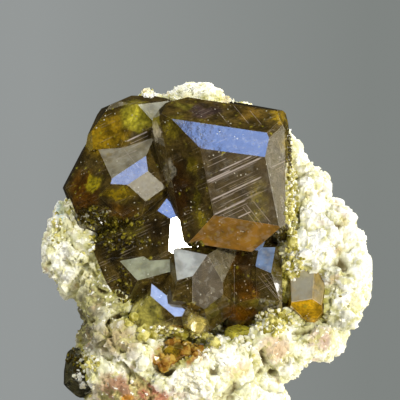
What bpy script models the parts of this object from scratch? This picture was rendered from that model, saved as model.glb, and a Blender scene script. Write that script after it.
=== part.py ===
# Garnet in matrix: brown-olive garnets grown together on a cream rock, with small garnets seated in it.
# Sizes are in millimetres here and are scaled to metres when a mesh is made. +X right, -Y to the
# viewer, +Z up. A crystal is a block cut by flat faces: each face has the direction it looks in and
# its distance from the crystal's centre. Its buried side is closed by the garnet forms.

import bmesh
import bpy
from itertools import product
from mathutils import Vector, noise

MM = 0.001
GAP = 0.3            # clear space between a garnet and the rock that holds it
ROCK_BACK = 12.5     # how far the rock reaches behind the crystals
VOXEL = 0.62         # grain of the rock surface
ROCK_FACES = 5600    # triangles of the rock before its sockets are cut

CRYSTALS = {
    "A": {"centre": (2.25, -3.75, 33.1), "root": 8.5, "faces": {
        "blue": ((-0.05, -0.89, 0.45), 10.05), "front": ((-0.13, -0.99, -0.05), 9.6),
        "right": ((0.77, -0.62, 0.14), 10.55), "left": ((-0.6, -0.79, -0.14), 8.85),
        "top": ((0.05, -0.56, 0.83), 9.55), "under": ((-0.19, -0.82, -0.54), 10.55),
        "far_left": ((-0.91, -0.37, -0.19), 8.4), "shoulder": ((-0.76, -0.2, 0.62), 12.0),
        "crown": ((0.14, -0.07, 0.98), 9.1), "corner": ((0.48, -0.68, 0.56), 11.4),
        "rim": ((0.98, -0.17, 0.04), 8.6), "nook": ((0.8, -0.25, 0.55), 10.7),
        "rim_back": ((0.99, 0.1, 0.1), 8.0), "keel": ((-0.15, -0.1, -0.98), 9.6),
        "heel": ((0.6, -0.1, -0.79), 10.25), "toe": ((-0.5, -0.05, -0.86), 9.9)}},
    "B": {"centre": (-9.6, -0.25, 38.1), "root": 5.25, "faces": {
        "middle": ((-0.04, -0.97, 0.25), 5.6), "left_face": ((-0.25, -0.91, 0.32), 5.4),
        "triangle": ((0.41, -0.7, 0.58), 6.0), "side": ((0.79, -0.6, 0.13), 5.7),
        "grey_top": ((-0.31, -0.69, 0.65), 5.7), "top": ((0.05, -0.25, 0.97), 4.9),
        "rim": ((-0.8, -0.12, 0.58), 4.65), "left": ((-0.9, -0.42, 0.1), 6.2),
        "left_back": ((-0.97, 0.1, 0.2), 4.8), "brow": ((-0.4, -0.02, 0.92), 4.5),
        "top_back": ((0.0, 0.1, 1.0), 4.9), "under": ((0.0, -0.3, -0.95), 3.35)}},
    "C": {"centre": (-11.1, -2.9, 31.75), "root": 6.5, "faces": {
        "blue": ((0.11, -0.91, 0.4), 6.9), "big": ((-0.65, -0.61, 0.45), 5.3),
        "low": ((0.06, -0.91, -0.41), 6.75), "pale": ((0.4, -0.91, -0.03), 7.25),
        "rough": ((-0.21, -0.66, 0.72), 5.6), "right_low": ((0.59, -0.67, -0.45), 7.15),
        "right_top": ((0.64, -0.67, 0.37), 7.35), "rim": ((-0.88, -0.09, 0.46), 5.85),
        "left_low": ((-0.93, -0.09, -0.35), 6.4), "left": ((-0.91, -0.41, 0.06), 6.6),
        "brown": ((-0.7, -0.61, -0.36), 7.2), "foot": ((-0.3, -0.66, -0.69), 6.2)}},
    "D": {"centre": (-5.9, -4.1, 24.4), "root": 5.5, "faces": {
        "blue": ((0.07, -0.84, 0.54), 6.8), "black": ((-0.25, -0.96, 0.08), 5.6),
        "white": ((0.32, -0.95, 0.04), 6.15), "side": ((0.75, -0.37, 0.55), 5.6),
        "top": ((-0.5, -0.48, 0.72), 5.8), "bottom": ((0.0, -0.93, -0.37), 5.95)}},
    "slab": {"centre": (-7.1, -4.75, 21.0), "root": 3.25, "faces": {
        "pale": ((-0.05, -0.93, 0.35), 5.2), "top": ((-0.16, -0.47, 0.87), 4.1),
        "low_left": ((-0.65, -0.69, -0.31), 5.3), "under": ((0.22, -0.66, -0.71), 4.2),
        "right": ((0.85, -0.5, 0.1), 5.3)}},
    "E": {"centre": (-0.9, -4.75, 20.0), "root": 4.5, "faces": {
        "pale": ((-0.1, -0.88, 0.45), 6.75), "kite": ((0.5, -0.865, 0.025), 5.8),
        "strip": ((0.76, -0.6, 0.26), 5.15), "black": ((0.02, -1.0, 0.03), 7.2),
        "right": ((0.9, -0.43, 0.01), 4.75), "foot": ((0.7, -0.53, -0.49), 5.5),
        "top": ((0.1, -0.42, 0.9), 5.55), "left": ((-0.8, -0.56, 0.2), 6.35),
        "chin": ((-0.1, -0.6, -0.8), 6.6)}},
    "F": {"centre": (-5.6, -5.75, 16.0), "root": 4.25, "faces": {
        "blue": ((0.07, -0.87, 0.5), 5.55), "body": ((-0.48, -0.86, -0.16), 4.9),
        "top": ((0.42, -0.48, 0.77), 4.4), "left": ((-0.8, -0.5, 0.35), 4.5),
        "right": ((0.85, -0.5, -0.1), 5.4), "foot": ((0.0, -0.3, -0.95), 3.2),
        "low": ((0.1, -0.93, -0.35), 6.35)}},
    "H": {"centre": (5.6, -2.9, 18.75), "root": 5.25, "faces": {
        "blue": ((0.07, -0.87, 0.5), 6.3), "olive": ((-0.44, -0.73, 0.52), 5.45),
        "dark": ((-0.15, -0.99, 0.02), 5.45), "front": ((-0.51, -0.86, 0.02), 4.55),
        "right": ((0.7, -0.66, 0.26), 6.05), "low": ((-0.22, -0.72, -0.65), 4.5),
        "low_right": ((0.45, -0.66, -0.6), 6.15), "foot": ((0.1, -0.25, -0.95), 5.5),
        "top": ((0.0, -0.3, 0.95), 6.35), "left": ((-0.95, -0.3, -0.1), 3.85),
        "flank": ((1.0, 0.0, 0.0), 3.7)}},
    "amber": {"centre": (12.5, -4.75, 18.1), "root": 2.5, "faces": {
        "grey": ((-0.15, -0.9, 0.4), 2.85), "buff": ((0.5, -0.8, 0.3), 2.9),
        "glow": ((0.0, -0.87, -0.5), 3.1), "left": ((-0.98, -0.2, 0.05), 2.6),
        "right": ((0.95, -0.3, 0.0), 2.5), "top": ((0.0, -0.4, 0.9), 3.7),
        "low_left": ((-0.6, -0.3, -0.75), 3.0), "low_right": ((0.65, -0.3, -0.7), 3.3)}},
    "yellow": {"centre": (-1.1, -7.6, 14.2), "root": 1.3, "faces": {
        "front": ((-0.2, -0.96, 0.2), 1.4), "high_right": ((0.6, -0.6, 0.5), 1.4),
        "high_left": ((-0.6, -0.4, 0.7), 1.4), "low_right": ((0.7, -0.6, -0.4), 1.35),
        "low_left": ((-0.5, -0.6, -0.6), 1.4), "top": ((0.1, -0.3, 0.95), 1.3),
        "foot": ((0.1, -0.3, -0.95), 1.5), "left": ((-0.95, -0.3, 0.0), 1.4),
        "right": ((0.97, -0.2, 0.1), 1.35)}},
    "green": {"centre": (3.9, -7.3, 13.0), "root": 1.5, "faces": {
        "white": ((0.3, -0.94, 0.2), 1.6), "left_face": ((-0.6, -0.75, 0.25), 1.7),
        "low": ((-0.1, -0.7, -0.7), 1.6), "top": ((0.0, -0.45, 0.9), 1.25),
        "right": ((0.93, -0.35, 0.0), 1.6), "left": ((-0.95, -0.1, -0.2), 1.75)}},
    "umber": {"centre": (-3.4, -8.3, 10.9), "root": 1.7, "faces": {
        "front": ((-0.25, -0.95, 0.15), 2.1), "right_face": ((0.5, -0.83, 0.25), 2.2),
        "low": ((0.1, -0.75, -0.65), 1.9), "top": ((0.15, -0.3, 0.94), 1.35),
        "right": ((0.9, -0.3, 0.3), 2.75), "left": ((-0.85, -0.3, -0.4), 2.2),
        "high_left": ((-0.6, -0.3, 0.75), 2.1)}},
    "dark": {"centre": (-15.4, -2.6, 8.6), "root": 2.5, "faces": {
        "front": ((-0.1, -0.98, 0.15), 2.5), "left_face": ((-0.75, -0.62, 0.2), 2.55),
        "low": ((-0.2, -0.75, -0.63), 2.8), "high": ((0.1, -0.7, 0.7), 3.0),
        "left": ((-0.97, -0.1, 0.1), 2.35), "low_left": ((-0.7, -0.15, -0.7), 2.9),
        "top": ((-0.35, -0.1, 0.93), 3.3), "right": ((0.9, -0.4, 0.1), 2.3),
        "foot": ((0.2, -0.1, -0.97), 3.2)}},
}

GROWN_TOGETHER = ("A", "B", "C", "D", "slab", "E", "F", "H", "yellow")

# The rock's outline seen from the front: its left side, top and right side.
OUTLINE = [
    (-13.4, -1.0), (-14.0, 5.0), (-14.4, 8.1), (-15.1, 10.6), (-15.9, 12.6), (-15.2, 13.9),
    (-15.0, 15.5), (-15.9, 17.0), (-16.2, 18.4), (-17.9, 19.0), (-19.5, 20.6), (-20.1, 22.1),
    (-20.4, 24.4), (-19.5, 26.2), (-18.9, 27.9), (-17.9, 29.6), (-15.6, 31.2), (-12.9, 35.0),
    (-9.9, 39.4), (-8.4, 42.9), (-7.2, 43.7), (-6.0, 43.1), (-4.4, 42.9), (-3.4, 43.6),
    (-2.2, 44.2), (-0.9, 44.8), (0.0, 44.8), (0.9, 44.0), (2.1, 42.8), (5.0, 41.8),
    (6.9, 40.2), (8.9, 39.2), (10.4, 38.6), (11.1, 36.9), (11.0, 34.6), (12.1, 34.9),
    (13.2, 34.2), (13.9, 32.5), (15.1, 30.0), (16.5, 29.5), (17.5, 27.6), (19.1, 25.4),
    (19.4, 22.8), (20.4, 20.6), (19.4, 17.7), (19.2, 15.8), (18.5, 14.6), (16.9, 14.8),
    (16.6, 13.8), (17.0, 12.2), (15.9, 11.2), (14.0, 10.7), (11.8, 10.6), (11.5, 9.1),
    (9.2, 7.8), (8.8, 5.2), (7.9, -1.0)]

# Depth of each ring of the rock's body and how much of the full outline it keeps.
BODY_RINGS = [(-3.0, 0.9), (-1.0, 0.985), (2.0, 1.0), (6.0, 0.97), (10.0, 0.84), (ROCK_BACK, 0.6)]
BODY_CENTRE = (0.0, 22.0)

# Lumps of rock that stand forward of the body: middle and radius.
LUMPS = [
    ((-16.6, -2.0, 25.6), 3.3), ((-18.0, -2.4, 22.4), 2.3), ((-14.6, -4.0, 22.2), 3.2),
    ((-15.9, -3.4, 19.9), 2.3), ((-11.9, -6.0, 19.6), 2.8), ((-10.6, -7.4, 17.6), 2.0),
    ((-13.2, -5.0, 17.2), 2.9), ((-12.0, -6.2, 14.2), 3.2), ((-13.8, -3.4, 12.4), 2.3),
    ((-9.6, -7.6, 11.9), 3.5), ((-12.1, -5.8, 9.4), 3.3), ((-7.6, -8.2, 9.6), 3.0),
    ((-9.0, -6.6, 6.6), 3.8), ((-4.6, -8.0, 7.0), 3.6), ((-0.6, -8.6, 8.3), 3.6),
    ((2.4, -8.2, 10.0), 3.0), ((5.4, -7.4, 10.9), 3.2), ((8.0, -6.4, 12.2), 2.9),
    ((9.6, -5.6, 15.2), 2.3), ((9.6, -4.8, 10.9), 3.2), ((12.8, -4.4, 13.0), 2.8),
    ((15.0, -2.6, 13.2), 2.5), ((15.8, -3.8, 17.4), 3.3), ((16.4, -4.2, 21.4), 3.5),
    ((12.8, -5.0, 22.8), 3.0), ((15.4, -3.8, 26.2), 3.4), ((12.2, -4.4, 26.6), 2.8),
    ((11.8, -3.0, 30.2), 2.7), ((13.3, -1.8, 31.2), 2.5), ((10.6, -5.4, 24.2), 2.0),
    ((11.6, -1.4, 33.0), 1.9), ((-7.2, -5.0, 4.0), 4.6), ((-1.0, -6.6, 4.0), 4.9),
    ((4.8, -5.0, 4.6), 4.8), ((-11.0, -3.2, 4.0), 4.2), ((2.6, -7.6, 6.6), 3.8)]

# Hollows broken out of the rock: middle and radius.
PITS = [((-12.6, -9.4, 15.6), 1.2), ((7.6, -10.2, 9.0), 1.2), ((11.4, -8.0, 15.6), 1.0),
        ((13.9, -7.0, 15.0), 0.9), ((-3.4, -12.6, 5.4), 1.3), ((11.2, -8.4, 28.4), 1.0)]

GARNET_FORMS = [p for p in product((-1, 0, 1), repeat=3) if sum(map(abs, p)) == 2]
GARNET_FORMS += [p for p in product((-2, -1, 1, 2), repeat=3) if sorted(map(abs, p)) == [1, 1, 2]]


def clear_scene():
    for item in list(bpy.data.objects):
        bpy.data.objects.remove(item, do_unlink=True)


def make_object(name, mesh):
    item = bpy.data.objects.new(name, mesh)
    bpy.context.scene.collection.objects.link(item)
    return item


def material(name, colour, roughness, metallic=0.0):
    made = bpy.data.materials.new(name)
    made.use_nodes = True
    shader = made.node_tree.nodes["Principled BSDF"]
    shader.inputs["Base Color"].default_value = (*colour, 1.0)
    shader.inputs["Roughness"].default_value = roughness
    shader.inputs["Metallic"].default_value = metallic
    made.diffuse_color = (*colour, 1.0)
    return made


def crystal(name, grow=0.0):
    """A crystal as an object; grow moves every face outwards by that many millimetres."""
    spec = CRYSTALS[name]
    centre = Vector(spec["centre"])
    cuts = [(Vector(look).normalized(), far) for look, far in spec["faces"].values()]
    for form in GARNET_FORMS:
        look = Vector(form).normalized()
        if look.y > 0.1:
            cuts.append((look, spec["root"]))
    block = bmesh.new()
    bmesh.ops.create_cube(block, size=60.0)
    for look, far in cuts:
        bmesh.ops.bisect_plane(block, geom=block.verts[:] + block.edges[:] + block.faces[:],
                               dist=1e-5, plane_co=look * (far + grow), plane_no=look,
                               clear_outer=True)
        rim = [edge for edge in block.edges if len(edge.link_faces) == 1]
        if rim:
            bmesh.ops.contextual_create(block, geom=rim)
    bmesh.ops.remove_doubles(block, verts=block.verts[:], dist=0.02)
    bmesh.ops.recalc_face_normals(block, faces=block.faces[:])
    for vert in block.verts:
        vert.co = (vert.co + centre) * MM
    mesh = bpy.data.meshes.new(name)
    block.to_mesh(mesh)
    block.free()
    return make_object(name, mesh)


def evaluated(item, name):
    """The object's mesh with its modifiers carried out."""
    graph = bpy.context.evaluated_depsgraph_get()
    mesh = bpy.data.meshes.new_from_object(item.evaluated_get(graph))
    mesh.name = name
    return mesh


def combine(item, other, operation):
    """Joins other to item, or cuts it away, and removes other."""
    step = item.modifiers.new(operation.lower(), "BOOLEAN")
    step.operation = operation
    step.solver = "EXACT"
    step.object = other
    other.hide_render = True
    other.display_type = "WIRE"
    mesh = evaluated(item, item.name)
    item.modifiers.clear()
    item.data = mesh
    bpy.data.objects.remove(other, do_unlink=True)


def keep_largest(item):
    """Drops crumbs cut loose from the main piece."""
    body = bmesh.new()
    body.from_mesh(item.data)
    left = set(body.verts)
    parts = []
    while left:
        found = {left.pop()}
        edge_of = list(found)
        while edge_of:
            vert = edge_of.pop()
            for link in vert.link_edges:
                near = link.other_vert(vert)
                if near in left:
                    left.discard(near)
                    found.add(near)
                    edge_of.append(near)
        parts.append(found)
    parts.sort(key=len)
    for part in parts[:-1]:
        bmesh.ops.delete(body, geom=list(part), context="VERTS")
    body.to_mesh(item.data)
    body.free()


def rock_shape():
    """The rough shape of the rock: a body with the photographed outline, lumps and pits."""
    body = bmesh.new()
    rings = []
    for depth, share in BODY_RINGS:
        ring = []
        for x, z in OUTLINE:
            sx = BODY_CENTRE[0] + (x - BODY_CENTRE[0]) * share
            sz = BODY_CENTRE[1] + (z - BODY_CENTRE[1]) * share if z > BODY_CENTRE[1] else z
            ring.append(body.verts.new((sx, depth, sz)))
        rings.append(ring)
    count = len(OUTLINE)
    for low, high in zip(rings, rings[1:]):
        for i in range(count):
            j = (i + 1) % count
            body.faces.new((low[i], low[j], high[j], high[i]))
    body.faces.new(rings[0])
    body.faces.new(list(reversed(rings[-1])))
    bmesh.ops.triangulate(body, faces=body.faces[:])
    bmesh.ops.recalc_face_normals(body, faces=body.faces[:])
    for middle, radius in LUMPS:
        made = bmesh.ops.create_icosphere(body, subdivisions=3, radius=radius)
        bmesh.ops.translate(body, verts=made["verts"], vec=middle)
    mesh = bpy.data.meshes.new("matrix")
    body.to_mesh(mesh)
    body.free()
    return make_object("matrix", mesh)


def roughen(mesh):
    """Moves the rock surface in and out: broad knobs, small knobs, and hollows."""
    normals = [vert.normal.copy() for vert in mesh.vertices]
    for vert, normal in zip(mesh.vertices, normals):
        place = vert.co.copy()
        broad = noise.noise(place * 0.23) * 0.9
        knobs = (0.5 - abs(noise.noise(place * 0.55))) * 0.9 - 0.25
        small = noise.noise(place * 1.1 + Vector((7.0, 3.0, 1.0))) * 0.35
        hollow = 0.0
        for middle, radius in PITS:
            near = (place - Vector(middle)).length / (radius * 1.7)
            if near < 1.0:
                hollow += (1.0 - near) * radius
        vert.co = place + normal * (broad + knobs + small - hollow)


def rock():
    item = rock_shape()
    step = item.modifiers.new("blend", "REMESH")
    step.mode = "VOXEL"
    step.voxel_size = VOXEL
    item.data = evaluated(item, "matrix")
    item.modifiers.clear()
    step = item.modifiers.new("ease", "SMOOTH")
    step.factor = 0.5
    step.iterations = 3
    item.data = evaluated(item, "matrix")
    item.modifiers.clear()
    roughen(item.data)
    step = item.modifiers.new("thin", "DECIMATE")
    step.ratio = min(1.0, ROCK_FACES / (2.0 * len(item.data.polygons)))
    item.data = evaluated(item, "matrix")
    item.modifiers.clear()
    body = bmesh.new()
    body.from_mesh(item.data)
    bmesh.ops.bisect_plane(body, geom=body.verts[:] + body.edges[:] + body.faces[:], dist=1e-4,
                           plane_co=(0, 0, 0), plane_no=(0, 0, -1), clear_outer=True)
    rim = [edge for edge in body.edges if len(edge.link_faces) == 1]
    bmesh.ops.contextual_create(body, geom=rim)
    bmesh.ops.triangulate(body, faces=body.faces[:])
    bmesh.ops.recalc_face_normals(body, faces=body.faces[:])
    for vert in body.verts:
        vert.co *= MM
    body.to_mesh(item.data)
    body.free()
    return item


def tidy(item, near):
    """Merges corners closer than near and leaves only triangles and flat faces."""
    body = bmesh.new()
    body.from_mesh(item.data)
    bmesh.ops.remove_doubles(body, verts=body.verts[:], dist=near)
    bmesh.ops.dissolve_degenerate(body, edges=body.edges[:], dist=near)
    bmesh.ops.triangulate(body, faces=body.faces[:])
    bmesh.ops.recalc_face_normals(body, faces=body.faces[:])
    body.to_mesh(item.data)
    body.free()


clear_scene()

matrix = rock()
for key in CRYSTALS:
    combine(matrix, crystal(key, grow=GAP), "DIFFERENCE")
keep_largest(matrix)
tidy(matrix, 0.00002)

cluster = crystal("A")
for key in GROWN_TOGETHER[1:]:
    combine(cluster, crystal(key), "UNION")
cluster.name = "garnet_cluster"
tidy(cluster, 0.00002)

nodes = {"matrix": matrix, "garnet_cluster": cluster}
for key in ("amber", "green", "umber", "dark"):
    nodes["garnet_" + key] = crystal(key)
    nodes["garnet_" + key].name = "garnet_" + key

matrix.data.materials.append(material("rock_cream", (0.80, 0.76, 0.58), 0.85))
cluster.data.materials.append(material("garnet_brown", (0.16, 0.10, 0.02), 0.15))
nodes["garnet_amber"].data.materials.append(material("garnet_orange", (0.55, 0.33, 0.02), 0.2))
nodes["garnet_green"].data.materials.append(material("garnet_lime", (0.50, 0.50, 0.08), 0.25))
nodes["garnet_umber"].data.materials.append(material("garnet_rust", (0.42, 0.22, 0.03), 0.3))
nodes["garnet_dark"].data.materials.append(material("garnet_black", (0.05, 0.06, 0.03), 0.12))

# The specimen stands with the middle of its box at the origin and its broken base on the ground.
corners = [vert.co for node in nodes.values() for vert in node.data.vertices]
shift = Vector(((min(c.x for c in corners) + max(c.x for c in corners)) / 2,
                (min(c.y for c in corners) + max(c.y for c in corners)) / 2,
                min(c.z for c in corners)))
for name, node in nodes.items():
    node.name = name
    node.data.name = name
    for vert in node.data.vertices:
        vert.co -= shift
    node.data.update()
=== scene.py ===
import random
from math import cos, radians, sin

import bpy
from mathutils import Matrix, Quaternion, Vector, noise
from mathutils.bvhtree import BVHTree


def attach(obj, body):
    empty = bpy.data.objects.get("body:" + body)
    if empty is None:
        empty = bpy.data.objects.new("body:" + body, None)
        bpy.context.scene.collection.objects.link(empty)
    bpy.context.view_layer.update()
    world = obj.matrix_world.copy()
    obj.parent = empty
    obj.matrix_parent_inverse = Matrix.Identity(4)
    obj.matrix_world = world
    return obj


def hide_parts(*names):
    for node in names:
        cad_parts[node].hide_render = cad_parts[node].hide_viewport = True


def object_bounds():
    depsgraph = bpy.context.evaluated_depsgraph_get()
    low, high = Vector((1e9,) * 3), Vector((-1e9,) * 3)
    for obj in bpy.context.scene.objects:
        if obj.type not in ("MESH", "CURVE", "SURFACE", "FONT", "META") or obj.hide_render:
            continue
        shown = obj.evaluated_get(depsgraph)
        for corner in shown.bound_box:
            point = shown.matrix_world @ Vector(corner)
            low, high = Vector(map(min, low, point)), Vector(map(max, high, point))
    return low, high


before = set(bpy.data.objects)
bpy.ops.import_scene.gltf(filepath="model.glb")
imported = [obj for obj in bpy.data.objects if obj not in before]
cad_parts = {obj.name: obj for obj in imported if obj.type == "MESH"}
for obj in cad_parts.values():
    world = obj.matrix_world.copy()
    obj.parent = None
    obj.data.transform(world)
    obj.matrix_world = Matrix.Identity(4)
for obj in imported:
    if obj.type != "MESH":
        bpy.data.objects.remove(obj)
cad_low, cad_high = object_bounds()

# ---- Camera and room
# A long lens looks straight at the crystals' side, framed as the photograph is, with the specimen's
# foot out of the picture. It stands on a small pale disc in a plain grey room, under soft panels.

MM = 0.001
SENSOR = 36.0
CAMERA_AWAY = 900
VIEW_WIDTH = 50
VIEW_MIDDLE_X = -0.875
VIEW_MIDDLE_Z = 30
ROOM_SIZE = 3.0
DISC_RADIUS = 60 * MM
DISC_THICK = 10 * MM
GREY_SPREAD = 90 * MM
GREY_LEFT = (0.300, 0.318, 0.315, 1)
GREY_RIGHT = (0.215, 0.232, 0.222, 1)

camera_data = bpy.data.cameras.new("camera")
camera_data.sensor_width = SENSOR
camera_data.lens = SENSOR * CAMERA_AWAY / VIEW_WIDTH
camera_data.clip_start = 0.05
camera_data.clip_end = 20.0
camera = bpy.data.objects.new("camera", camera_data)
bpy.context.scene.collection.objects.link(camera)
camera.location = (VIEW_MIDDLE_X * MM, -CAMERA_AWAY * MM, VIEW_MIDDLE_Z * MM)
camera.rotation_euler = (radians(90), 0, 0)
bpy.context.scene.camera = camera
bpy.context.scene.view_settings.view_transform = "Standard"


def plain_material(name, colour, roughness):
    made = bpy.data.materials.new(name)
    made.use_nodes = True
    shader = made.node_tree.nodes["Principled BSDF"]
    shader.inputs["Base Color"].default_value = (*colour, 1.0)
    shader.inputs["Roughness"].default_value = roughness
    return made


bpy.ops.mesh.primitive_cylinder_add(
    vertices=128, radius=DISC_RADIUS, depth=DISC_THICK, location=(0, 0, -DISC_THICK / 2))
disc = bpy.context.object
disc.name = "disc"
disc.data.materials.append(plain_material("disc_pale", (0.66, 0.64, 0.60), 0.7))
disc.visible_glossy = False

bpy.ops.mesh.primitive_cylinder_add(vertices=96, radius=ROOM_SIZE, depth=ROOM_SIZE * 2)
room = bpy.context.object
room.name = "room"
grey = plain_material("room_grey", (0.0, 0.0, 0.0), 1.0)
tree = grey.node_tree
place = tree.nodes.new("ShaderNodeTexCoord")
apart = tree.nodes.new("ShaderNodeSeparateXYZ")
tree.links.new(place.outputs["Object"], apart.inputs[0])
across = tree.nodes.new("ShaderNodeMapRange")
across.inputs["From Min"].default_value = -GREY_SPREAD
across.inputs["From Max"].default_value = GREY_SPREAD
tree.links.new(apart.outputs["X"], across.inputs["Value"])
# The room's grey is a glow of its own that lights nothing: painted light, lighter on the left and darker on
# the right.
tone = tree.nodes.new("ShaderNodeMixRGB")
tone.inputs["Color1"].default_value = GREY_LEFT
tone.inputs["Color2"].default_value = GREY_RIGHT
tree.links.new(across.outputs["Result"], tone.inputs["Fac"])
tree.links.new(tone.outputs["Color"], tree.nodes["Principled BSDF"].inputs["Emission Color"])
tree.nodes["Principled BSDF"].inputs["Emission Strength"].default_value = 1.0
room.data.materials.append(grey)
room.visible_glossy = False
room.visible_diffuse = False

world = bpy.data.worlds.new("room_light")
world.use_nodes = True
world.node_tree.nodes["Background"].inputs["Color"].default_value = (1.0, 0.88, 0.62, 1)
world.node_tree.nodes["Background"].inputs["Strength"].default_value = 0.02
bpy.context.scene.world = world


def panel(name, towards, far, width, height, watts, colour):
    """A soft panel that lights the specimen from the direction given, far metres away."""
    specimen_middle = Vector((0, 0, 27 * MM))
    data = bpy.data.lights.new(name, "AREA")
    data.shape = "RECTANGLE"
    data.size = width
    data.size_y = height
    data.energy = watts
    data.color = colour
    made = bpy.data.objects.new(name, data)
    bpy.context.scene.collection.objects.link(made)
    look = Vector(towards).normalized()
    made.location = look * far + specimen_middle
    made.rotation_euler = look.to_track_quat("Z", "Y").to_euler()
    made.visible_camera = False
    return made


panel("blue_window", (0.06, -0.55, 0.83), 0.9, 0.28, 0.34, 1.15, (0.29, 0.47, 1.0))
panel("key", (0.61, -0.80, 0.07), 0.9, 0.12, 0.12, 6.5, (1.0, 0.97, 0.88))
panel("right_panel", (0.985, -0.05, 0.16), 1.0, 0.5, 0.7, 5.6, (1.0, 0.97, 0.92))
panel("high_right", (0.62, 0.36, 0.70), 1.0, 0.45, 0.45, 8.0, (1.0, 0.98, 0.94))
high_left = panel("high_left", (-0.52, -0.25, 0.82), 1.0, 0.35, 0.35, 7.5, (1.0, 0.98, 0.92))
high_left.visible_glossy = False
low_front = panel("low_front", (-0.35, -0.90, -0.20), 1.2, 0.6, 0.6, 2.2, (1.0, 0.96, 0.88))
low_front.visible_glossy = False


# ---- Rock
# One broken piece of grainy cream to white rock, crumbly and pitted, with ribs on its left. It is
# stained tan and rust towards its foot, and yellow-green around the garnets that grew in it. Its
# hollows and pits carry painted shade, its left column and low right edge are darkened by painted
# shade, and its right side is whitened in part by painted light.

VOXEL = 0.30 * MM
WELD = 0.002 * MM
ROCK_SEED = 3
BEND_SCALE = 0.35
BEND = 1.2
LUMP_SIZE = 2.6
LUMP_HEIGHT = 0.75
NUB_SIZE = 1.1
NUB_HEIGHT = 0.46
GRAIN_SIZE = 0.55
GRAIN_HEIGHT = 0.16
GRIT_SCALE = 2.6
GRIT_HEIGHT = 0.10
SWELL = 0.05
PIT_SCALE = 0.5
PIT_PLACE = Vector((9, 0, 0))
PIT_FROM = 0.30
PIT_DEPTH = 2.0
RIBS_AND_CRACKS_BEFORE = 4.0
RIB_SHARE = 0.6
DEEPEST = -1.2
HIGHEST = 0.75
GARNET_SEARCH = 4.0
TOUCHING = 0.8
OVERLAP = 0.05
STAIN_REACH = 2.5
RIBS = [((-15.5, 22.6), (-10.2, 17.6), 0.8, 0.7), ((-14.2, 24.2), (-9.6, 20.0), 0.6, 0.45),
        ((-12.4, 14.6), (-8.0, 10.2), 0.9, 0.8), ((-9.6, 15.6), (-6.6, 11.4), 0.8, 0.7),
        ((-17.8, 27.0), (-13.6, 23.6), 0.9, 0.6)]
CRACKS = [((-11.0, 16.2), (-13.6, 11.4), 0.35, 1.0), ((-16.2, 22.4), (-12.0, 18.2), 0.35, 0.7),
          ((-10.6, 9.4), (-6.8, 6.9), 0.6, 0.5), ((-8.6, 13.4), (-4.8, 8.6), 0.4, 0.8),
          ((6.8, 11.2), (7.8, 9.0), 0.6, 1.2), ((10.6, 13.6), (14.4, 14.8), 0.5, 1.1),
          ((10.6, 28.6), (10.9, 26.2), 0.5, 1.2)]


def cad_copy(name, node):
    """The node's shape as a new object, with its corners joined."""
    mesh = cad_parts[node].data.copy()
    mesh.name = name
    mesh.materials.clear()
    made = bpy.data.objects.new(name, mesh)
    bpy.context.scene.collection.objects.link(made)
    bpy.ops.object.select_all(action="DESELECT")
    made.select_set(True)
    bpy.context.view_layer.objects.active = made
    bpy.ops.object.mode_set(mode="EDIT")
    bpy.ops.mesh.select_all(action="SELECT")
    bpy.ops.mesh.remove_doubles(threshold=WELD)
    bpy.ops.mesh.normals_make_consistent(inside=False)
    bpy.ops.object.mode_set(mode="OBJECT")
    return made


def along(p, start, end):
    """How far p lies from the line between two points seen from the front, in millimetres."""
    way = Vector((end[0] - start[0], end[1] - start[1]))
    rest = Vector((p.x - start[0], p.z - start[1]))
    share = min(1.0, max(0.0, rest.dot(way) / way.length_squared))
    return (rest - way * share).length


def crumble(p, size):
    """Broken grains: each cell of the size given has its own height and its own tilted flat top."""
    tilt = 0.8
    height = 0.35
    joint_width = 0.16
    joint_depth = 1.6
    spread_seeds = 7.3
    where = p / size
    gaps, points = noise.voronoi(where)
    turn = noise.cell_vector(points[0] * spread_seeds)
    flat = (where - points[0]).dot(turn) * tilt
    return flat + turn.x * height - max(0.0, joint_width - (gaps[1] - gaps[0])) * joint_depth


rock = cad_copy("rock", "matrix")
even = rock.modifiers.new("even", "REMESH")
even.mode = "VOXEL"
even.voxel_size = VOXEL
bpy.ops.object.modifier_apply(modifier="even")
garnet_shapes = []
for node in ("garnet_cluster", "garnet_amber", "garnet_green", "garnet_umber", "garnet_dark"):
    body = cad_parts[node].data
    corners = [v.co for v in body.vertices]
    garnet_shapes.append(BVHTree.FromPolygons(corners, [f.vertices for f in body.polygons]))


def to_garnet(point, normal):
    """The distance in millimetres to the nearest garnet within reach, and how far normal faces it."""
    nearest = GARNET_SEARCH
    facing = 0.0
    for shape in garnet_shapes:
        spot, _, _, off = shape.find_nearest(point, GARNET_SEARCH * MM)
        if spot is not None and off / MM < nearest:
            nearest = off / MM
            facing = (spot - point).normalized().dot(normal)
    return nearest, facing


def relief(p):
    """How far the rock's surface rises at p, in millimetres: lumps, nubs, grains, pits, ribs and cracks."""
    bent = p + noise.noise_vector(p * BEND_SCALE) * BEND
    rise = SWELL + crumble(bent, LUMP_SIZE) * LUMP_HEIGHT + crumble(bent, NUB_SIZE) * NUB_HEIGHT
    rise += crumble(p, GRAIN_SIZE) * GRAIN_HEIGHT + noise.noise(p * GRIT_SCALE) * GRIT_HEIGHT
    rise -= max(0.0, noise.noise(p * PIT_SCALE + PIT_PLACE) - PIT_FROM) * PIT_DEPTH
    if p.y < RIBS_AND_CRACKS_BEFORE:
        for start, end, reach, high in RIBS:
            rise += high * max(0.0, 1 - (along(bent, start, end) / reach) ** 2) * RIB_SHARE
        for start, end, reach, deep in CRACKS:
            rise -= deep * max(0.0, 1 - (along(bent, start, end) / reach) ** 2)
    return min(max(rise, DEEPEST), HIGHEST)


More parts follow.
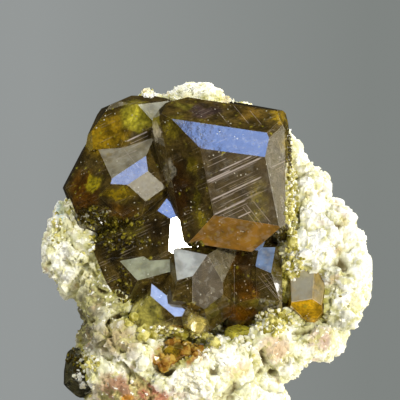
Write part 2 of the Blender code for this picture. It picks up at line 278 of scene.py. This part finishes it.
mesh = rock.data
mesh.attributes.new("hollow", "FLOAT", "POINT")
mesh.attributes.new("border", "FLOAT", "POINT")
hollow = mesh.attributes["hollow"]
border = mesh.attributes["border"]
outward = [v.normal.copy() for v in mesh.vertices]
noise.seed_set(ROCK_SEED)
for v, n in zip(mesh.vertices, outward):
    rise = relief(v.co / MM)
    gap, facing = to_garnet(v.co, n)
    if gap < TOUCHING:
        rise = gap + OVERLAP if facing > 0.5 else min(rise, 0.0)
    q = v.co + n * rise * MM
    v.co = (min(max(q.x, cad_low.x), cad_high.x), min(max(q.y, cad_low.y), cad_high.y),
            min(max(q.z, cad_low.z), cad_high.z))
    hollow.data[v.index].value = min(1.0, max(0.0, 0.5 - rise * 0.6))
    border.data[v.index].value = max(0.0, 1.0 - gap / STAIN_REACH)
for face in mesh.polygons:
    face.use_smooth = False


class Paint:
    """Adds the steps of one material, all read from the piece's own Object coordinates in metres."""

    def __init__(self, name):
        self.material = bpy.data.materials.new(name)
        self.material.use_nodes = True
        self.tree = self.material.node_tree
        self.shader = self.tree.nodes["Principled BSDF"]
        self.place = self.tree.nodes.new("ShaderNodeTexCoord").outputs["Object"]

    def node(self, kind, inputs, output=0, **values):
        made = self.tree.nodes.new("ShaderNode" + kind)
        for key, value in values.items():
            setattr(made, key, value)
        for key, value in inputs.items():
            if isinstance(value, bpy.types.NodeSocket):
                self.tree.links.new(value, made.inputs[key])
            else:
                made.inputs[key].default_value = value
        return made.outputs[output]

    def attribute(self, name, output="Fac"):
        """A value that the mesh itself carries."""
        return self.node("Attribute", {}, output, attribute_name=name)

    def ramp(self, value, low, high):
        """0 at low and 1 at high, and soft between."""
        return self.node("MapRange", {"Value": value, "From Min": low, "From Max": high},
                         interpolation_type="SMOOTHSTEP")

    def shifted(self, seed):
        """The coordinates moved aside, so that each pattern falls in its own places."""
        return self.node("Mapping", {"Vector": self.place, "Location": (seed, seed * 0.7, 0.0)})

    def cloud(self, size, low, high, detail=4.0, seed=0.0):
        """Soft random patches of the size given in millimetres."""
        where = self.shifted(seed)
        found = self.node("TexNoise", {"Vector": where, "Scale": 1 / (size * MM), "Detail": detail})
        return self.ramp(found, low, high)

    def cells(self, size, low, high, seed=0.0):
        """Small dots, one in each cell of the size given in millimetres."""
        found = self.node("TexVoronoi", {"Vector": self.shifted(seed), "Scale": 1 / (size * MM)})
        return self.ramp(found, high, low)

    def times(self, one, other):
        return self.node("Math", {0: one, 1: other}, operation="MULTIPLY")

    def most(self, one, other):
        return self.node("Math", {0: one, 1: other}, operation="MAXIMUM")

    def over(self, base, tint, share):
        """The tint laid over the base, as far as share says."""
        colours = {"Fac": share}
        for key, value in (("Color1", base), ("Color2", tint)):
            colours[key] = (*value, 1) if isinstance(value, tuple) else value
        return self.node("MixRGB", colours)

    def zones(self, base, zones, wobble):
        """Soft oval zones that run front to back: (x, z, half width, half height in mm, colour)."""
        front = -9 * MM
        fade_backwards = 0.03 / MM
        solid_share = 0.35
        shift = self.node("TexNoise", {"Vector": self.place, "Scale": 600.0, "Detail": 6.0}, "Color")
        shift = self.node("VectorMath", {0: shift, 1: (0.5, 0.5, 0.5)}, operation="SUBTRACT")
        shift = self.node("VectorMath", {0: shift, "Scale": wobble * MM}, operation="SCALE")
        where = self.node("VectorMath", {0: self.place, 1: shift}, operation="ADD")
        for x, z, wide, high, tint in zones:
            off = self.node("VectorMath", {0: where, 1: (x * MM, front, z * MM)}, operation="SUBTRACT")
            size = (1 / (wide * MM), fade_backwards, 1 / (high * MM))
            off = self.node("VectorMath", {0: off, 1: size}, operation="MULTIPLY")
            off = self.node("VectorMath", {0: off}, "Value", operation="LENGTH")
            base = self.over(base, tint, self.ramp(off, 1.0, solid_share))
        return base


paint = Paint("rock_cream")
cream = (0.80, 0.79, 0.54)
chalk = (0.99, 0.98, 0.87)
# Stains and tints of the rock, with painted light and painted shade among them.
stain_and_painted_light_zones = [
    # Chalky white low in the middle, and white on the right that is partly the rock's own white and partly
    # painted light on its brightly lit right side.
    (15.4, 24.0, 6.4, 11.0, (0.99, 0.99, 0.93)),
    (-1.5, 6.6, 4.0, 3.0, (1.0, 1.0, 0.90)),
    # Olive and tan in the ribs on the left, darkened by painted shade in the recessed left column (the two
    # darkest ovals), and a red-brown stain towards the foot.
    (-13.5, 19.0, 4.5, 5.0, (0.62, 0.59, 0.34)),
    (-9.8, 4.6, 6.6, 4.2, (0.42, 0.25, 0.14)),
    (-8.0, 6.8, 2.6, 1.6, (0.46, 0.16, 0.09)),
    (-15.4, 14.6, 3.2, 5.0, (0.17, 0.15, 0.08)),
    (-13.0, 18.4, 2.8, 2.4, (0.25, 0.23, 0.11)),
    (-11.0, 12.8, 3.6, 3.2, (0.50, 0.41, 0.22)),
    (-10.9, 6.6, 3.4, 2.4, (0.46, 0.27, 0.16)),
    (-6.2, 5.4, 2.6, 1.5, (0.55, 0.24, 0.14)),
    (-0.8, 4.6, 1.2, 1.2, (0.46, 0.22, 0.10)),
    (-10.2, 5.4, 0.9, 0.9, (0.60, 0.26, 0.02)),
    # Tan and buff patches low on the right, painted shade low at the right edge, and a pale patch at the
    # top of the left edge.
    (3.6, 8.8, 2.2, 1.3, (0.80, 0.70, 0.44)),
    (8.6, 11.6, 3.0, 2.4, (0.70, 0.56, 0.38)),
    (14.2, 12.9, 2.2, 1.8, (0.62, 0.48, 0.38)),
    (16.8, 15.0, 2.2, 1.5, (0.50, 0.50, 0.40)),
    (-18.4, 26.2, 1.4, 1.8, (0.80, 0.80, 0.52)),
    # Rust around the rust-brown garnets, and two spots of pale blue-green.
    (-4.6, 10.8, 2.8, 2.0, (0.46, 0.22, 0.04)),
    (-1.8, 11.0, 2.2, 1.8, (0.46, 0.20, 0.05)),
    (-18.2, 28.9, 0.9, 1.3, (0.58, 0.72, 0.68)),
    (10.9, 26.6, 1.4, 1.5, (0.62, 0.66, 0.58)),
]
look = paint.over(cream, chalk, paint.cloud(2.4, 0.36, 0.56))
look = paint.zones(look, stain_and_painted_light_zones, 3.0)
green_stain = (0.40, 0.37, 0.06)
pale_green = (0.62, 0.60, 0.24)
dark_speck = (0.16, 0.14, 0.04)
tan = (0.60, 0.42, 0.24)
white_speck = (1.0, 0.99, 0.90)
hollow_painted_shade_green = (0.58, 0.56, 0.24)
pit_painted_shade = (0.16, 0.12, 0.04)
near = paint.attribute("border")
stained = paint.times(paint.ramp(near, 0.25, 0.9), paint.cloud(1.2, 0.36, 0.60, seed=0.7))
look = paint.over(look, green_stain, stained)
look = paint.over(look, pale_green, paint.times(paint.cloud(1.3, 0.50, 0.66), 0.75))
look = paint.over(look, dark_speck, paint.times(paint.cloud(0.9, 0.66, 0.74, seed=0.3), 0.8))
look = paint.over(look, tan, paint.times(paint.cloud(2.6, 0.58, 0.72, seed=0.5), 0.6))
look = paint.over(look, white_speck, paint.cloud(0.7, 0.60, 0.68, seed=0.8))
# Painted shade: hollows turn yellow-green and the deepest pits dark brown, standing for the shade that
# falls in them.
deep = paint.attribute("hollow")
look = paint.over(look, hollow_painted_shade_green, paint.times(paint.ramp(deep, 0.40, 0.62), 0.6))
look = paint.over(look, pit_painted_shade, paint.times(paint.ramp(deep, 0.58, 0.95), 0.9))
paint.tree.links.new(look, paint.shader.inputs["Base Color"])
paint.shader.inputs["Roughness"].default_value = 0.8
paint.shader.inputs["Specular IOR Level"].default_value = 0.25
grit = paint.node("TexNoise", {"Vector": paint.place, "Scale": 2200.0, "Detail": 5.0})
rough = paint.node("Bump", {"Height": grit, "Strength": 0.8, "Distance": 0.16 * MM})
paint.tree.links.new(rough, paint.shader.inputs["Normal"])
rock.data.materials.append(paint.material)
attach(rock, "root")
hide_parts("matrix")


# ---- Garnets grown together
# Nine large flat-faced garnets, dark olive to brown, clear enough for light to show inside; the glows,
# glints and sparkle inside them are painted into their colour. Growth has left fine parallel lines on
# their faces, painted pale as highlights on their tiny steps, and some faces are frosted pale; one face
# carries a painted reflection of the blue window.

VIEWER = -0.1
INWARDS = Vector((0, 1, 0))
SAME_PLANE = radians(0.5)
CLUSTER_EDGE = 0.035 * MM
RISING = Vector((-0.423, 0.0, 0.906))
FALLING = Vector((0.777, 0.0, 0.63))


def whole_faces():
    """Joins the loose triangles of each flat face of the active piece."""
    bpy.ops.object.mode_set(mode="EDIT")
    bpy.ops.mesh.select_all(action="SELECT")
    bpy.ops.mesh.dissolve_limited(angle_limit=SAME_PLANE)
    bpy.ops.object.mode_set(mode="OBJECT")


def blunt(item, width):
    """Wears the sharp edges off, keeps the faces flat, and marks the narrow worn faces."""
    bpy.ops.object.mode_set(mode="EDIT")
    bpy.ops.mesh.select_all(action="SELECT")
    bpy.ops.mesh.bevel(offset=width, segments=1, affect="EDGES", clamp_overlap=True)
    bpy.ops.object.mode_set(mode="OBJECT")
    item.data.attributes.new("worn", "FLOAT", "FACE")
    worn = item.data.attributes["worn"].data
    for face in item.data.polygons:
        face.use_smooth = False
        corners = [item.data.vertices[i].co for i in face.vertices]
        longest = max((a - b).length for a in corners for b in corners)
        worn[face.index].value = 1.0 if face.area < longest * width * 2 else 0.0


def frost(item, faces):
    """Gives the faces seen from the front at (x, z) mm a film of a colour, more or less thick: mostly a
    frosted film, and on one face a painted reflection.
    """
    item.data.attributes.new("frost", "FLOAT", "FACE")
    item.data.attributes.new("film_and_painted_reflection", "FLOAT_COLOR", "FACE")
    film_and_painted_reflection = item.data.attributes["film_and_painted_reflection"].data
    thick = item.data.attributes["frost"].data
    for x, z, colour, share in faces:
        hit, _, _, index = item.ray_cast(Vector((x * MM, VIEWER, z * MM)), INWARDS)
        if hit:
            film_and_painted_reflection[index].color = (*colour, 1.0)
            thick[index].value = share


def growth_marks(made, lines):
    """How strongly the growth lines mark each spot; each is (across, x, z, half length, width) in mm."""
    broad = 0.1
    core = 0.3
    full_reach = 0.8
    faint = 0.5
    marks = 0.0
    for side, x, z, reach, width in lines:
        point = Vector((x * MM, 0.0, z * MM))
        where = made.node("VectorMath", {0: made.place, 1: tuple(side)}, "Value", operation="DOT_PRODUCT")
        off = made.node("Math", {0: where, 1: side.dot(point)}, operation="SUBTRACT")
        off = made.node("Math", {0: off}, operation="ABSOLUTE")
        stroke = made.ramp(off, width * MM, width * MM * core)
        flat = made.node("VectorMath", {0: made.place, 1: (1.0, 0.0, 1.0)}, operation="MULTIPLY")
        gone = made.node("VectorMath", {0: flat, 1: tuple(point)}, "Value", operation="DISTANCE")
        stroke = made.times(stroke, made.ramp(gone, reach * MM, reach * MM * full_reach))
        stroke = made.times(stroke, 1.0 if width > broad else faint)
        marks = made.most(marks, stroke)
    return made.times(marks, made.cloud(2.0, 0.22, 0.50, seed=0.9))


def hairlines(made):
    """Fine lines side by side across RISING, in patches."""
    spacing = 0.16 * MM
    across = made.node("VectorMath", {0: made.place, 1: tuple(RISING)}, "Value", operation="DOT_PRODUCT")
    across = made.node("Math", {0: across, 1: 1 / spacing}, operation="MULTIPLY")
    found = made.node("TexNoise", {"W": across, "Scale": 1.0, "Detail": 2.0}, noise_dimensions="1D")
    return made.times(made.ramp(found, 0.60, 0.68), made.cloud(1.8, 0.46, 0.60, seed=1.1))


def garnet(name, ground, zones, lines, clear, absorb, density, dull=0.06):
    """Clear garnet with inner colour zones partly painted as glows and glints, frosted faces, growth lines
    with painted highlights, painted sparkle and dust.
    """
    frosted_roughness = 0.22
    worn_roughness = 0.5
    lime_sparkle = (0.50, 0.44, 0.03)
    pale_wisp = (0.66, 0.64, 0.54)
    hairline_tan = (0.60, 0.50, 0.38)
    growth_line_highlight = (0.72, 0.61, 0.53)
    dust_pale = (0.85, 0.82, 0.66)
    made = Paint(name)
    # Colour zones inside: partly the garnet's own colour zoning and partly painted glows and glints of
    # light.
    look = made.zones(ground, zones, 2.6)
    for size, darkest, brightest, seed in ((1.5, 0.50, 1.6, 0.0), (0.35, 0.70, 1.35, 0.3)):
        dark = made.node("VectorMath", {0: look, "Scale": darkest}, operation="SCALE")
        bright = made.node("VectorMath", {0: look, "Scale": brightest}, operation="SCALE")
        look = made.over(dark, bright, made.cloud(size, 0.32, 0.68, 6.0, seed))
    # Painted sparkle: small bright yellow-green spots that stand for glints of light inside the garnet.
    sparkle = made.times(made.cells(0.8, 0.10, 0.42, seed=0.5), made.cloud(1.1, 0.52, 0.66, seed=0.2))
    look = made.over(look, lime_sparkle, made.times(sparkle, 0.7))
    share = made.attribute("frost")
    patchy = made.node("MapRange", {"Value": made.cloud(1.6, 0.34, 0.66, 8.0, seed=0.6), "To Min": 0.5})
    # Frosted films, and on one face a painted reflection of the blue window.
    look = made.over(look, made.attribute("film_and_painted_reflection", "Color"), made.times(share, patchy))
    wisps = made.times(share, made.cloud(0.7, 0.50, 0.66, 9.0, seed=1.7))
    look = made.over(look, pale_wisp, made.times(wisps, 0.22))
    if lines:
        look = made.over(look, hairline_tan, made.times(hairlines(made), 0.28))
        # Growth lines painted pale: the lines are the garnet's own, and their paleness is a painted
        # highlight on the edges of their tiny steps.
        look = made.over(look, growth_line_highlight, made.times(growth_marks(made, lines), 0.85))
    dust = made.times(made.cells(0.6, 0.10, 0.20), made.cloud(1.6, 0.50, 0.60, seed=0.4))
    look = made.over(look, dust_pale, made.times(dust, 0.85))
    made.tree.links.new(look, made.shader.inputs["Base Color"])
    worn = made.attribute("worn")
    rough = made.node("MapRange", {"Value": share, "To Min": dull, "To Max": frosted_roughness})
    rough = made.most(rough, made.times(worn, worn_roughness))
    coat = made.node("Math", {0: 1.0, 1: worn}, operation="SUBTRACT")
    made.tree.links.new(coat, made.shader.inputs["Coat Weight"])
    made.tree.links.new(rough, made.shader.inputs["Roughness"])
    uneven = made.node("TexNoise", {"Vector": made.place, "Scale": 900.0, "Detail": 4.0})
    skin = made.node("Bump", {"Height": uneven, "Strength": 0.15, "Distance": 0.05 * MM})
    made.tree.links.new(skin, made.shader.inputs["Normal"])
    made.tree.links.new(skin, made.shader.inputs["Coat Normal"])
    made.shader.inputs["IOR"].default_value = 1.78
    made.shader.inputs["Transmission Weight"].default_value = clear
    made.shader.inputs["Coat Roughness"].default_value = 0.04
    made.shader.inputs["Coat IOR"].default_value = 1.9
    inner = made.node("VolumeAbsorption", {"Color": (*absorb, 1), "Density": density})
    made.tree.links.new(inner, made.tree.nodes["Material Output"].inputs["Volume"])
    return made.material


cluster = cad_copy("cluster", "garnet_cluster")
whole_faces()
frost(cluster, [
    (2.25, 37.9, (0.06, 0.07, 0.12), 0.8),
    (3.5, 32.0, (0.17, 0.12, 0.065), 0.5),
    (3.5, 26.2, (0.66, 0.31, 0.03), 0.75),
    (8.6, 34.4, (0.19, 0.15, 0.05), 0.75),
    (-9.9, 35.4, (0.40, 0.37, 0.26), 0.9),
    (-9.6, 33.1, (0.24, 0.19, 0.10), 0.8),
    (-7.5, 31.6, (0.33, 0.28, 0.15), 0.8),
    (-6.75, 41.0, (0.60, 0.60, 0.42), 0.9),
    (-10.6, 42.1, (0.24, 0.20, 0.09), 0.8),
    (-6.4, 38.75, (0.30, 0.24, 0.10), 0.2),
    (-14.6, 37.4, (0.62, 0.46, 0.07), 0.7),
    (-7.1, 22.25, (0.49, 0.52, 0.34), 1.0),
    (-3.4, 21.25, (0.76, 0.80, 0.76), 0.9),
    (0.1, 19.4, (0.16, 0.13, 0.09), 0.8),
    (1.0, 22.25, (0.30, 0.26, 0.16), 0.8),
    # Painted reflection: this face is painted with the blue of the window's reflection.
    (7.1, 22.6, (0.34, 0.54, 1.0), 0.9),
    (-5.25, 17.5, (0.42, 0.44, 0.46), 0.8),
])
blunt(cluster, CLUSTER_EDGE)
# Partly the garnets' own colour zoning and partly painted glows and glints of light inside them.
inner_colour_and_glow_zones = [
    (-3.6, 31.2, 2.2, 5.5, (0.036, 0.015, 0.001)),
    (6.2, 29.6, 1.6, 3.6, (0.22, 0.17, 0.015)),
    (-1.9, 34.2, 0.7, 1.6, (0.17, 0.13, 0.006)),
    (-1.3, 30.2, 0.7, 2.0, (0.15, 0.12, 0.006)),
    (-0.7, 27.6, 1.1, 1.4, (0.20, 0.155, 0.01)),
    (-4.2, 38.9, 1.8, 2.2, (0.18, 0.14, 0.010)),
    (-0.2, 41.0, 2.8, 1.2, (0.060, 0.038, 0.030)),
    (-2.9, 41.6, 1.4, 0.9, (0.13, 0.11, 0.015)),
    (5.4, 40.6, 2.2, 1.2, (0.17, 0.10, 0.014)),
    (8.8, 40.4, 1.4, 1.2, (0.50, 0.32, 0.02)),
    (10.2, 36.0, 1.4, 4.5, (0.36, 0.26, 0.03)),
    (1.9, 35.9, 0.35, 0.30, (0.85, 0.80, 0.03)),
    (-4.6, 33.6, 0.65, 1.9, (0.30, 0.27, 0.19)),
    (-6.3, 38.4, 0.5, 1.8, (0.80, 0.72, 0.50)),
    (-12.6, 38.0, 3.8, 4.0, (0.25, 0.155, 0.005)),
    (-8.8, 40.4, 2.8, 2.3, (0.62, 0.54, 0.04)),
    (-8.7, 37.4, 1.7, 1.3, (0.15, 0.11, 0.04)),
    (-15.2, 31.0, 2.6, 3.4, (0.11, 0.042, 0.001)),
    (-14.1, 32.2, 1.3, 1.3, (0.50, 0.40, 0.012)),
    (-10.9, 30.7, 2.6, 1.3, (0.19, 0.13, 0.004)),
    (-10.6, 28.6, 2.6, 1.2, (0.11, 0.052, 0.003)),
    (-12.3, 28.3, 1.3, 0.9, (0.13, 0.075, 0.02)),
    (-6.0, 26.4, 2.6, 2.6, (0.026, 0.016, 0.004)),
    (-9.2, 26.4, 1.8, 1.4, (0.11, 0.085, 0.012)),
    (-12.2, 25.8, 2.0, 2.4, (0.07, 0.06, 0.008)),
    (-11.2, 24.0, 3.6, 2.4, (0.020, 0.013, 0.002)),
    (-1.4, 22.4, 1.4, 2.0, (0.020, 0.016, 0.008)),
    (-7.6, 16.0, 2.8, 3.0, (0.38, 0.34, 0.07)),
    (-5.2, 13.6, 2.6, 1.8, (0.56, 0.48, 0.15)),
    (-1.2, 14.6, 1.8, 1.8, (0.58, 0.48, 0.13)),
    (4.1, 22.2, 1.8, 2.4, (0.080, 0.034, 0.002)),
    (5.2, 25.0, 1.6, 0.8, (0.20, 0.15, 0.01)),
    (4.8, 18.8, 2.0, 1.8, (0.15, 0.060, 0.003)),
    (4.2, 16.0, 2.6, 1.6, (0.19, 0.070, 0.003)),
    (4.8, 14.0, 2.2, 1.2, (0.30, 0.17, 0.003)),
    (8.2, 18.8, 1.4, 2.4, (0.09, 0.065, 0.015)),
]
growth_lines = [
    (RISING, 3.4, 33.7, 3.9, 0.15), (RISING, 3.5, 34.5, 2.3, 0.12), (RISING, 1.4, 33.0, 1.7, 0.11),
    (RISING, 3.3, 33.4, 3.4, 0.06), (RISING, 4.2, 34.5, 2.4, 0.05), (RISING, 5.0, 35.1, 1.8, 0.05),
    (RISING, 3.6, 31.4, 3.6, 0.14), (RISING, 3.9, 31.2, 2.7, 0.06), (RISING, 4.4, 32.1, 2.0, 0.05),
    (RISING, 3.2, 32.2, 2.4, 0.04), (RISING, 4.4, 30.6, 2.8, 0.06), (RISING, 4.8, 30.2, 2.2, 0.05),
    (RISING, 2.8, 29.1, 2.3, 0.13), (RISING, 4.6, 30.0, 3.4, 0.06), (RISING, 3.2, 28.8, 2.2, 0.05),
    (RISING, 3.0, 28.2, 1.8, 0.05), (RISING, 4.6, 28.2, 0.9, 0.11), (RISING, 2.0, 30.2, 1.6, 0.05),
    (RISING, 1.2, 34.6, 1.4, 0.06), (RISING, 1.2, 35.3, 1.2, 0.05), (RISING, 8.9, 34.5, 1.3, 0.06),
    (FALLING, 5.8, 28.2, 1.8, 0.07), (FALLING, 5.3, 28.0, 1.6, 0.06), (FALLING, 6.7, 28.6, 1.9, 0.06),
    (FALLING, 4.2, 40.6, 1.6, 0.04), (FALLING, 2.2, 39.9, 1.4, 0.04), (FALLING, 6.0, 40.2, 1.2, 0.04),
    (RISING, -8.7, 37.9, 1.5, 0.13), (RISING, -8.4, 37.5, 1.3, 0.06), (RISING, -8.4, 37.0, 1.2, 0.06),
    (FALLING, 8.0, 19.4, 2.2, 0.06), (FALLING, 7.5, 19.2, 2.0, 0.045), (FALLING, 8.5, 19.6, 1.8, 0.045),
    (FALLING, 8.2, 18.6, 1.6, 0.045), (FALLING, -9.4, 35.2, 1.6, 0.045), (RISING, -10.0, 35.6, 1.6, 0.045),
]
olive_brown = (0.075, 0.050, 0.010)
cluster.data.materials.append(garnet(
    "garnet_olive_brown", olive_brown, inner_colour_and_glow_zones, growth_lines,
    clear=0.3, absorb=(0.62, 0.42, 0.06), density=160.0))
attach(cluster, "root")
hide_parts("garnet_cluster")


# ---- Single garnets seated in the rock
# A clear amber garnet on the right, a yellow-green one and a rust-brown one low in the middle, and a
# green-black one at the left edge, each held by the rock it grew in.

SINGLE_EDGE = 0.06 * MM
SINGLE_DULL = 0.15
singles = []


def seat(name, node, ground, zones, films, clear, absorb, density):
    """One garnet in its socket, with its edges worn and its own colour."""
    single = cad_copy(name, node)
    whole_faces()
    frost(single, films)
    blunt(single, SINGLE_EDGE)
    single.data.materials.append(garnet(name, ground, zones, [], clear, absorb, density, SINGLE_DULL))
    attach(single, "root")
    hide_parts(node)
    singles.append(single)


seat("amber_garnet", "garnet_amber", ground=(0.56, 0.32, 0.003),
     zones=[(12.0, 19.9, 2.0, 2.0, (0.44, 0.40, 0.26)), (14.4, 19.0, 1.2, 1.6, (0.50, 0.38, 0.14))],
     films=[(12.0, 19.8, (0.60, 0.57, 0.43), 0.95), (14.0, 19.0, (0.42, 0.33, 0.13), 0.8)],
     clear=0.3, absorb=(0.95, 0.7, 0.1), density=120.0)
seat("green_garnet", "garnet_green", ground=(0.62, 0.56, 0.05),
     zones=[(4.2, 12.7, 0.8, 0.6, (1.0, 0.98, 0.88))], films=[],
     clear=0.4, absorb=(0.8, 0.8, 0.2), density=120.0)
seat("rust_garnet", "garnet_umber", ground=(0.25, 0.11, 0.010),
     zones=[(-4.6, 11.2, 1.6, 1.4, (0.32, 0.21, 0.012))], films=[],
     clear=0.35, absorb=(0.8, 0.5, 0.1), density=120.0)
# The pale oval low on the black garnet is a painted highlight, a white glint.
seat("black_garnet", "garnet_dark", ground=(0.085, 0.078, 0.036),
     zones=[(-15.6, 7.0, 0.9, 1.0, (0.86, 0.84, 0.70)), (-14.6, 10.6, 1.6, 1.4, (0.46, 0.43, 0.24))],
     films=[], clear=0.35, absorb=(0.5, 0.5, 0.3), density=200.0)


# ---- White crumbs
# Crumbs of the same white rock, broken off it and stuck to its front, thickest in the crusts along
# the borders of the large garnets and below them. One broken grain is the pattern for all the grains.

GRAIN_SEED = 7
GRAIN_TURN = 3.0
FLATTEST = 0.5
LONGEST = 1.4
STAND_OUT = 0.2
CROWDING = 0.6
WHOLE_TURN = 6.28
BACK_BEGINS = 3.0 * MM
RIBS_END = -6.0 * MM

bpy.ops.object.select_all(action="DESELECT")
bpy.ops.mesh.primitive_ico_sphere_add(subdivisions=1, radius=1.0)
pattern = bpy.context.object
pattern_corners = [v.co.copy() for v in pattern.data.vertices]
pattern_faces = [tuple(face.vertices) for face in pattern.data.polygons]
pattern_mesh = pattern.data
bpy.data.objects.remove(pattern)
bpy.data.meshes.remove(pattern_mesh)
chance = random.Random(GRAIN_SEED)


class Grains:
    """Copies of the pattern grain, gathered into one mesh."""

    def __init__(self):
        self.corners = []
        self.faces = []

    def add(self, middle, size):
        """One more grain, turned and stretched at random, inside the specimen's box."""
        room_needed = size * 1.5
        axis = (chance.uniform(-1, 1), chance.uniform(-1, 1), chance.uniform(-1, 1))
        turn = Quaternion(axis, GRAIN_TURN).to_matrix().to_4x4()
        thick = chance.uniform(FLATTEST, 1.0)
        long = chance.uniform(FLATTEST, LONGEST)
        stretch = Matrix.Diagonal((1.0, thick, long, 1.0))
        middle = Vector([min(max(a, low + room_needed), high - room_needed)
                         for a, low, high in zip(middle, cad_low, cad_high)])
        place = Matrix.Translation(middle) @ turn @ stretch
        first = len(self.corners)
        self.corners += [place @ (corner * size) for corner in pattern_corners]
        self.faces += [[first + i for i in face] for face in pattern_faces]

    def scatter(self, count, smallest, largest, wanted):
        """Grains half sunk all over the rock; wanted(face) gives 0 to 1."""
        faces = rock.data.polygons
        placed = 0
        while placed < count:
            face = faces[chance.randrange(len(faces))]
            if chance.random() > wanted(face):
                continue
            size = chance.uniform(smallest, largest) * MM
            self.add(face.center + face.normal * size * STAND_OUT, size)
            placed += 1

    def crust(self, patches, smallest, largest, front=0.1):
        """Grains on whatever lies at the front in each patch (x, z, half width, half height mm, count).

        In a gap they lie no deeper than front, in metres."""
        solid = [rock, cluster, *singles]
        for x, z, wide, high, count in patches:
            for _ in range(count):
                way = chance.uniform(0, WHOLE_TURN)
                far = chance.uniform(0, 1) ** CROWDING
                across = (x + cos(way) * far * wide) * MM
                up = (z + sin(way) * far * high) * MM
                start = Vector((across, VIEWER, up))
                hits = [item.ray_cast(start, INWARDS) for item in solid]
                depths = [spot.y for hit, spot, _, _ in hits if hit]
                if depths:
                    size = chance.uniform(smallest, largest) * MM
                    self.add(Vector((start.x, min(min(depths), front), start.z)), size)

    def finish(self, name, paint, roughness, dark, light, patches, low, high):
        """Makes the mesh, paints it in soft patches from dark to light, and fixes it to the rock."""
        made_mesh = bpy.data.meshes.new(name)
        made_mesh.from_pydata(self.corners, [], self.faces)
        look = paint.over(dark, light, paint.cloud(patches, low, high))
        paint.tree.links.new(look, paint.shader.inputs["Base Color"])
        paint.shader.inputs["Roughness"].default_value = roughness
        made_mesh.materials.append(paint.material)
        made = bpy.data.objects.new(name, made_mesh)
        bpy.context.scene.collection.objects.link(made)
        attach(made, "root")


def over_front(face):
    """Most crumbs on the front, right of the ribs, and few at the back."""
    if face.center.y > BACK_BEGINS:
        return 0.1
    return 0.8 if face.center.x > RIBS_END else 0.25


BORDER_CRUSTS = [
    (10.5, 29.4, 0.9, 5.0, 150), (10.6, 22.4, 1.2, 2.4, 90), (8.2, 14.9, 2.4, 1.6, 150),
    (-5.8, 13.7, 3.0, 0.7, 90), (-0.4, 12.4, 2.2, 1.0, 100), (-14.2, 25.2, 0.5, 1.8, 16),
    (-18.6, 26.4, 1.0, 2.2, 24), (-14.8, 9.8, 1.4, 1.2, 40),
]

crumbs = Grains()
crumbs.scatter(420, 0.12, 0.42, over_front)
crumbs.crust([(x, z, wide, high, count // 2) for x, z, wide, high, count in BORDER_CRUSTS], 0.12, 0.32)
crumbs.crust([
    (-7.2, 43.2, 0.9, 0.3, 40), (1.6, 10.6, 2.4, 1.5, 100), (4.6, 12.0, 1.6, 0.7, 30),
    (-15.9, 8.4, 0.8, 0.8, 20), (-15.6, 6.9, 0.4, 0.5, 8), (4.15, 12.75, 0.25, 0.2, 12),
    (-1.8, 7.2, 2.2, 1.6, 90),
], 0.14, 0.38)
crumbs.crust([(4.2, 12.9, 0.12, 0.10, 3)], 0.34, 0.42)
crumbs.finish(
    "crumbs", Paint("crumb_white"), 0.6,
    (0.88, 0.84, 0.62), (0.99, 0.98, 0.90), 1.5, 0.4, 0.6)


# ---- Yellow-green grains
# Small yellow-green garnets that grew as a crust where the rock meets the large garnets, with a few
# larger ones among them and a loose sprinkling further out.

GAP_FRONT = -5.5 * MM
GROUP_SCALE = 0.5
LOOSE_SHARE = 0.2


def near_garnets(face):
    """Thick along the garnets' border and scarce elsewhere, in loose groups."""
    close = border.data[face.vertices[0]].value
    group = noise.noise(face.center / MM * GROUP_SCALE) > -0.05
    return close if group else close * LOOSE_SHARE


green_grains = Grains()
green_grains.scatter(500, 0.10, 0.32, near_garnets)
green_grains.crust(BORDER_CRUSTS, 0.12, 0.38)
green_grains.crust([
    (-2.6, 13.0, 2.2, 0.5, 12), (-7.6, 13.4, 1.4, 0.7, 8), (1.0, 12.6, 0.8, 0.5, 5),
    (-9.6, 15.8, 0.7, 1.2, 5), (10.4, 26.0, 0.5, 1.6, 5), (8.4, 15.2, 1.6, 0.8, 6),
], 0.45, 0.80)
green_grains.crust([(9.75, 19.8, 0.4, 2.8, 80)], 0.22, 0.44, GAP_FRONT)
green_grains.finish(
    "green_grains", Paint("grain_yellow_green"), 0.3,
    (0.30, 0.26, 0.02), (0.72, 0.66, 0.22), 1.1, 0.4, 0.6)


# ---- Dark olive grains
# Small dark olive garnets, packed in the shaded places between and under the large ones and along
# the right edge of the largest; where they fill the gaps, their darkness is also painted shade.

dark_grains_and_painted_shade = Grains()
dark_grains_and_painted_shade.crust([
    (-11.8, 25.8, 1.8, 2.2, 130), (-10.4, 19.6, 0.8, 2.4, 50), (-8.4, 24.8, 1.6, 0.7, 60),
    (-1.2, 24.55, 0.8, 0.35, 26), (-9.8, 27.2, 2.2, 0.5, 30), (9.7, 26.0, 0.4, 1.2, 24),
    (-14.2, 28.0, 1.9, 1.3, 120), (10.15, 35.6, 0.3, 4.0, 50), (-16.4, 9.4, 1.2, 2.2, 40),
], 0.14, 0.36)
dark_grains_and_painted_shade.crust([(9.5, 25.9, 0.9, 0.9, 50)], 0.18, 0.36, GAP_FRONT)
dark_grains_and_painted_shade.finish(
    "dark_grains_and_painted_shade", Paint("grain_dark_olive_and_shade"), 0.25,
    (0.040, 0.028, 0.003), (0.24, 0.20, 0.015), 0.9, 0.50, 0.66)


# ---- Rust-brown grains
# Larger broken grains of rust-brown garnet, grown in a patch of the rock below the yellow-green
# garnets, around the single rust-brown one.

rust_grains = Grains()
rust_grains.crust([
    (-5.2, 10.0, 1.4, 0.9, 16), (-1.8, 11.6, 1.3, 0.9, 14), (-3.6, 12.6, 1.6, 0.4, 8),
], 0.40, 0.80)
rust_grains.finish(
    "rust_grains", Paint("grain_rust"), 0.25,
    (0.26, 0.11, 0.012), (0.52, 0.34, 0.06), 1.0, 0.42, 0.62)
